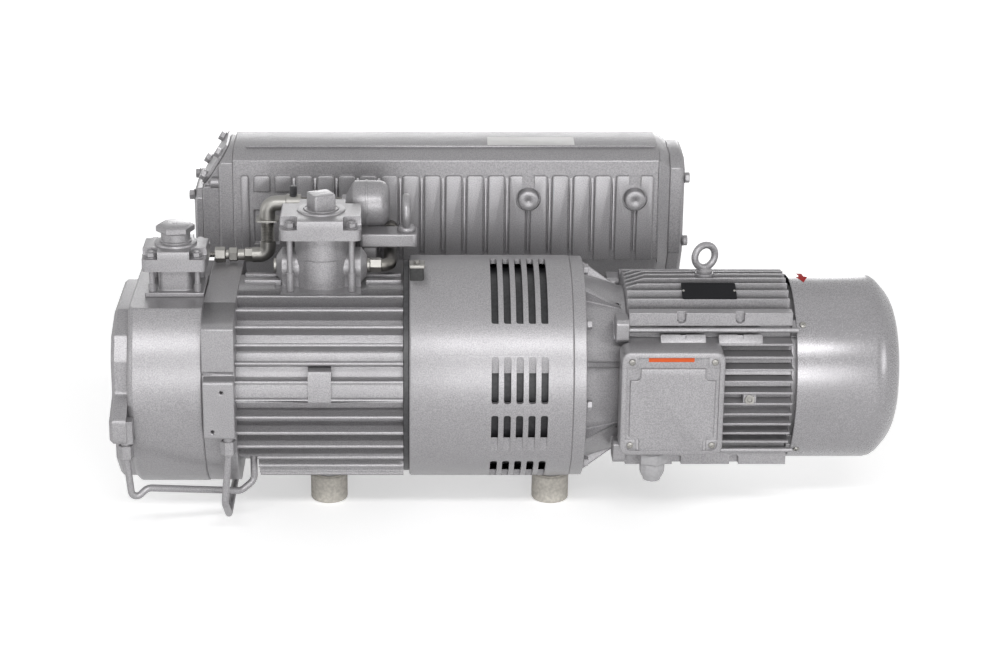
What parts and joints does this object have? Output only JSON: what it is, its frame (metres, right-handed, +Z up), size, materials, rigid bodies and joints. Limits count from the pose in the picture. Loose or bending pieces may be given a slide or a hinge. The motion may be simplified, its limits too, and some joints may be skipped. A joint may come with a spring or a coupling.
{
  "type": "rotary vane vacuum pump",
  "caption": "Oil-sealed rotary vane vacuum pump with finned cylinder, slotted fan shroud, flange motor and a ribbed oil separator box behind, on rubber feet.",
  "frame": {"origin": "centre of the four rubber feet's square, on the floor", "axes": "+X along the shaft from the pump to the motor's fan cowl, +Y from the shaft to the oil separator, +Z up"},
  "size_m": [1.073, 0.535, 0.462],
  "materials": {
    "paint_grey": "speckled silver-grey paint",
    "paint_cowl": "hammered silver-grey paint",
    "steel_bright": "zinc-plated steel",
    "steel_dark": "dark oiled steel",
    "cast_iron_bare": "machined grey cast iron",
    "rubber_beige": "moulded rubber",
    "rubber_black": "matt black rubber",
    "plastic_grey": "moulded plastic",
    "plastic_black": "moulded plastic",
    "filter_white": "glass fibre cartridge",
    "aluminium_cast": "as cast",
    "copper_winding": "varnished winding",
    "vane_composite": "fibre composite",
    "glass_clear": "clear"
  },
  "bodies": {
    "housing": {"air_filter": "paint_cowl", "ballast_body": "paint_grey", "ballast_cover": "paint_grey", "ballast_plug": "paint_grey", "bell_housing": "paint_grey", "cable_gland": "plastic_grey", "cover_studs": "paint_grey", "cross_screws": "steel_bright", "cylinder_casting": "paint_grey", "drive_side_plate": "cast_iron_bare", "exhaust_filters": "filter_white", "exhaust_plate": "paint_grey", "fan_cowl": "paint_cowl", "fan_shroud": "paint_grey", "float_valve": "cast_iron_bare", "hex_bolts": "steel_bright", "inlet_body": "paint_grey", "inlet_cover": "paint_grey", "inlet_plug": "paint_grey", "inlet_screen": "steel_bright", "left_end_plate": "paint_grey", "lifting_bracket": "paint_grey", "lifting_eye": "paint_grey", "middle_side_plate": "paint_grey", "motor_bearings": "steel_dark", "motor_end_shield": "paint_grey", "motor_eye_bolt": "paint_grey", "motor_frame": "paint_grey", "motor_tie_rods": "paint_grey", "oil_filter": "paint_grey", "oil_tubes": "paint_grey", "rubber_feet": "rubber_beige", "screw_plugs": "steel_bright", "separator_housing": "paint_grey", "separator_left_cover": "paint_grey", "separator_right_cover": "paint_grey", "shaft_bushes": "cast_iron_bare", "shaft_seal": "rubber_black", "sight_glass": "glass_clear", "stage_drum": "paint_grey", "stator_core": "steel_dark", "stator_windings": "copper_winding", "terminal_board": "plastic_black", "terminal_box": "paint_grey", "terminal_box_lid": "paint_grey", "tube_nuts": "paint_grey", "valve_spring": "steel_bright", "vent_fittings": "steel_bright", "vent_pipe": "steel_dark"},
    "pump_rotor": {"pump_rotor": "cast_iron_bare", "second_stage_rotor": "cast_iron_bare", "rotor_vanes": "vane_composite", "coupling_pump_half": "cast_iron_bare", "coupling_spider": "rubber_black", "cooling_fan": "aluminium_cast"},
    "motor_rotor": {"motor_rotor": "steel_dark", "coupling_motor_half": "cast_iron_bare", "motor_fan": "plastic_black"},
    "inlet_valve": {"valve_disc": "steel_dark"},
    "float": {"float_arm": "plastic_black"}
  },
  "joints": [
    {"name": "motor_rotor_spin", "type": "hinge", "parent": "housing", "child": "motor_rotor", "pos_m": [0, -0.125, 0.2], "axis": [1, 0, 0], "continuous": true},
    {"name": "pump_rotor_spin", "type": "hinge", "parent": "housing", "child": "pump_rotor", "pos_m": [0, -0.125, 0.2], "axis": [1, 0, 0], "continuous": true},
    {"name": "inlet_valve_slide", "type": "slide", "parent": "housing", "child": "inlet_valve", "axis": [0, 0, 1], "range_m": [-0.012, 0], "stiffness_N_per_m": 400, "springref_m": 0.0125, "deforming": ["valve_spring"]},
    {"name": "float_arm_hinge", "type": "hinge", "parent": "housing", "child": "float", "pos_m": [-0.04, 0.116, 0.11], "axis": [1, 0, 0], "range_deg": [0, 25]}
  ],
  "couplings": [
    {"joint": "pump_rotor_spin", "follows": "motor_rotor_spin", "ratio": 1}
  ]
}
